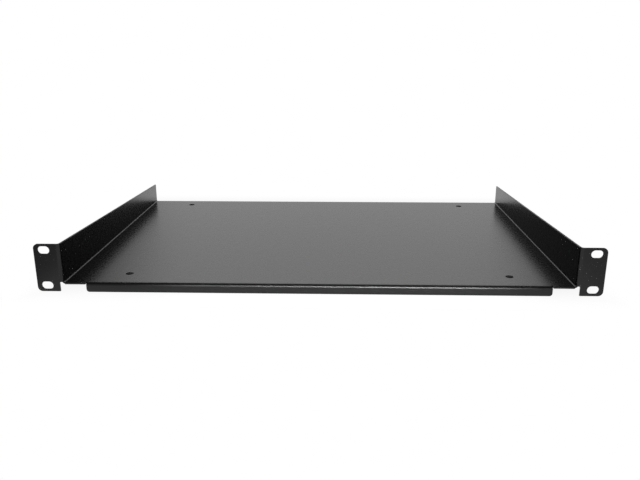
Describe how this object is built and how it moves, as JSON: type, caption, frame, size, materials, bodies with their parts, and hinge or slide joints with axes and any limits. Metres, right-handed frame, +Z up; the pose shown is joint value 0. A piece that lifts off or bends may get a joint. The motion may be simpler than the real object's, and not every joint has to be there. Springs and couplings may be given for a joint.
{
  "type": "cantilever rack shelf",
  "caption": "Folded sheet-metal tray with side walls, a front lip and slotted ears; it bolts to the front rails of an equipment rack and carries gear on its plate.",
  "frame": {"origin": "centre of the four rack slots, on the rear faces of the ears, which seat on the rack's rails", "axes": "+X across the rack to the viewer's right as seen from the front, +Y from the front of the rack towards its back, +Z up"},
  "size_m": [0.4826, 0.3048, 0.0429],
  "materials": {
    "powder_coat": "black powder coat, satin, with a fine even texture"
  },
  "bodies": {
    "root": {"folded_shelf": "powder_coat"}
  },
  "joints": []
}
